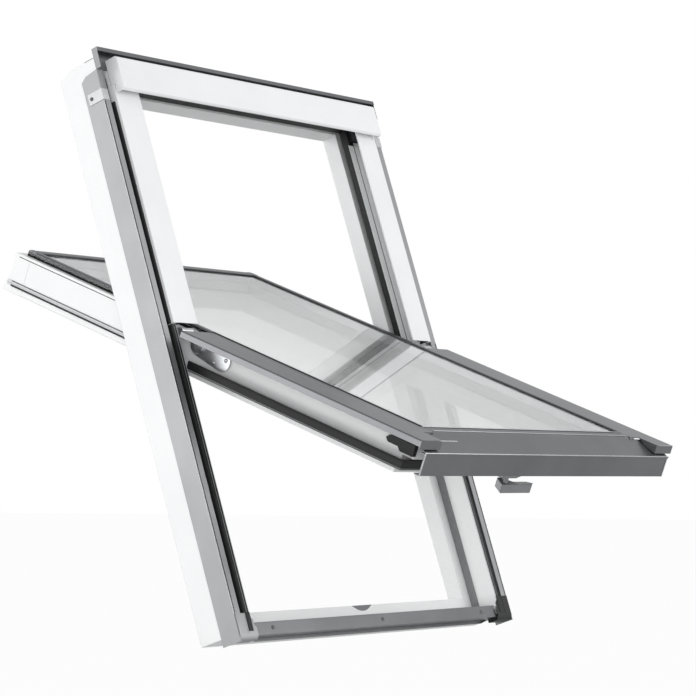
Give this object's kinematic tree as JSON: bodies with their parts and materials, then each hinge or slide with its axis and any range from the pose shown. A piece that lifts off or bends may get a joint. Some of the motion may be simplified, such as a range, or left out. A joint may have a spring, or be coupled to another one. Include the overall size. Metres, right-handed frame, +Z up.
{
  "type": "roof skylight",
  "caption": "Centre-pivot roof window with its grooved frame, metal cladding and hood, and a double-glazed sash that swings on two brake hinges and latches by a turning handle.",
  "frame": {"origin": "middle of the sill's flat room-side face, where the lining board meets it", "axes": "+X runs across the window, to the right as seen from outside; +Z is up; +Y points into the room and -Y outdoors. The window plane leans back 71.6 degrees from level, its top towards +Y. The sash is stored half open, its lower half outdoors."},
  "size_m": [0.7876, 0.927, 0.9832],
  "materials": {
    "painted_frame": "smooth white lacquer",
    "painted_sash": "smooth white lacquer",
    "cladding_white": "satin white powder coat",
    "cladding_silver": "satin silver powder coat",
    "cladding_grey": "satin grey powder coat",
    "moulded_dark": "matt moulded black",
    "seal_rubber": "matt black rubber",
    "steel": "bright zinc plating",
    "handle_alloy": "satin silver anodising",
    "glass": "clear float glass",
    "spacer_alloy": "mill finish",
    "edge_sealant": "matt black sealant"
  },
  "bodies": {
    "frame": {"frame_jamb_left": "painted_frame", "frame_jamb_right": "painted_frame", "frame_head": "painted_frame", "frame_sill": "painted_frame", "upper_cover_left": "cladding_white", "upper_cover_right": "cladding_white", "hood": "cladding_white", "hood_cap_left": "cladding_white", "hood_cap_right": "cladding_white", "side_cladding_left": "cladding_silver", "side_cladding_right": "cladding_silver", "head_tray": "cladding_grey", "sill_cladding": "cladding_grey", "sill_corner_left": "moulded_dark", "sill_corner_right": "moulded_dark", "cover_plug_left": "moulded_dark", "cover_plug_right": "moulded_dark", "hood_bracket_left": "moulded_dark", "hood_bracket_right": "moulded_dark", "channel_seal_left": "seal_rubber", "channel_seal_right": "seal_rubber", "ledge_seal_left": "seal_rubber", "ledge_seal_right": "seal_rubber", "frame_seal": "seal_rubber", "keeper": "steel", "sill_screws": "steel", "strap_screws": "steel", "hinge_frame_left": "steel", "hinge_frame_right": "steel", "cladding_strap_left": "steel", "cladding_strap_right": "steel"},
    "sash": {"sash_stile_left": "painted_sash", "sash_stile_right": "painted_sash", "sash_bottom_rail": "painted_sash", "sash_top_rail": "painted_sash", "glass_outer": "glass", "glass_inner": "glass", "glass_edge_seal": "edge_sealant", "glass_spacer": "spacer_alloy", "glazing_trim": "cladding_grey", "side_cover_left": "cladding_grey", "side_cover_right": "cladding_grey", "cover_end_left": "moulded_dark", "cover_end_right": "moulded_dark", "bottom_cladding": "cladding_grey", "bottom_bar": "cladding_grey", "guide_block_left": "moulded_dark", "guide_block_right": "moulded_dark", "sash_seal": "seal_rubber", "upper_seal_left": "seal_rubber", "upper_seal_right": "seal_rubber", "hinge_sash_left": "steel", "hinge_sash_right": "steel", "hinge_screws": "steel", "handle_base": "handle_alloy"},
    "handle": {"handle_lever": "handle_alloy"},
    "latch": {"latch_bolt": "steel"}
  },
  "joints": [
    {"name": "sash_pivot", "type": "hinge", "parent": "frame", "child": "sash", "pos_m": [0, 0.06888, 0.48585], "axis": [-1, 0, 0], "range_deg": [-50.6, 99.4]},
    {"name": "handle_turn", "type": "hinge", "parent": "sash", "child": "handle", "pos_m": [0.025, -0.31261, 0.25158], "axis": [0, -0.3584, 0.9336], "range_deg": [0, 90]},
    {"name": "latch_slide", "type": "slide", "parent": "sash", "child": "latch", "axis": [0, -0.9336, -0.3584], "range_m": [0, 0.01]}
  ],
  "couplings": [
    {"joint": "latch_slide", "follows": "handle_turn", "m_per_rad": 0.006366}
  ]
}
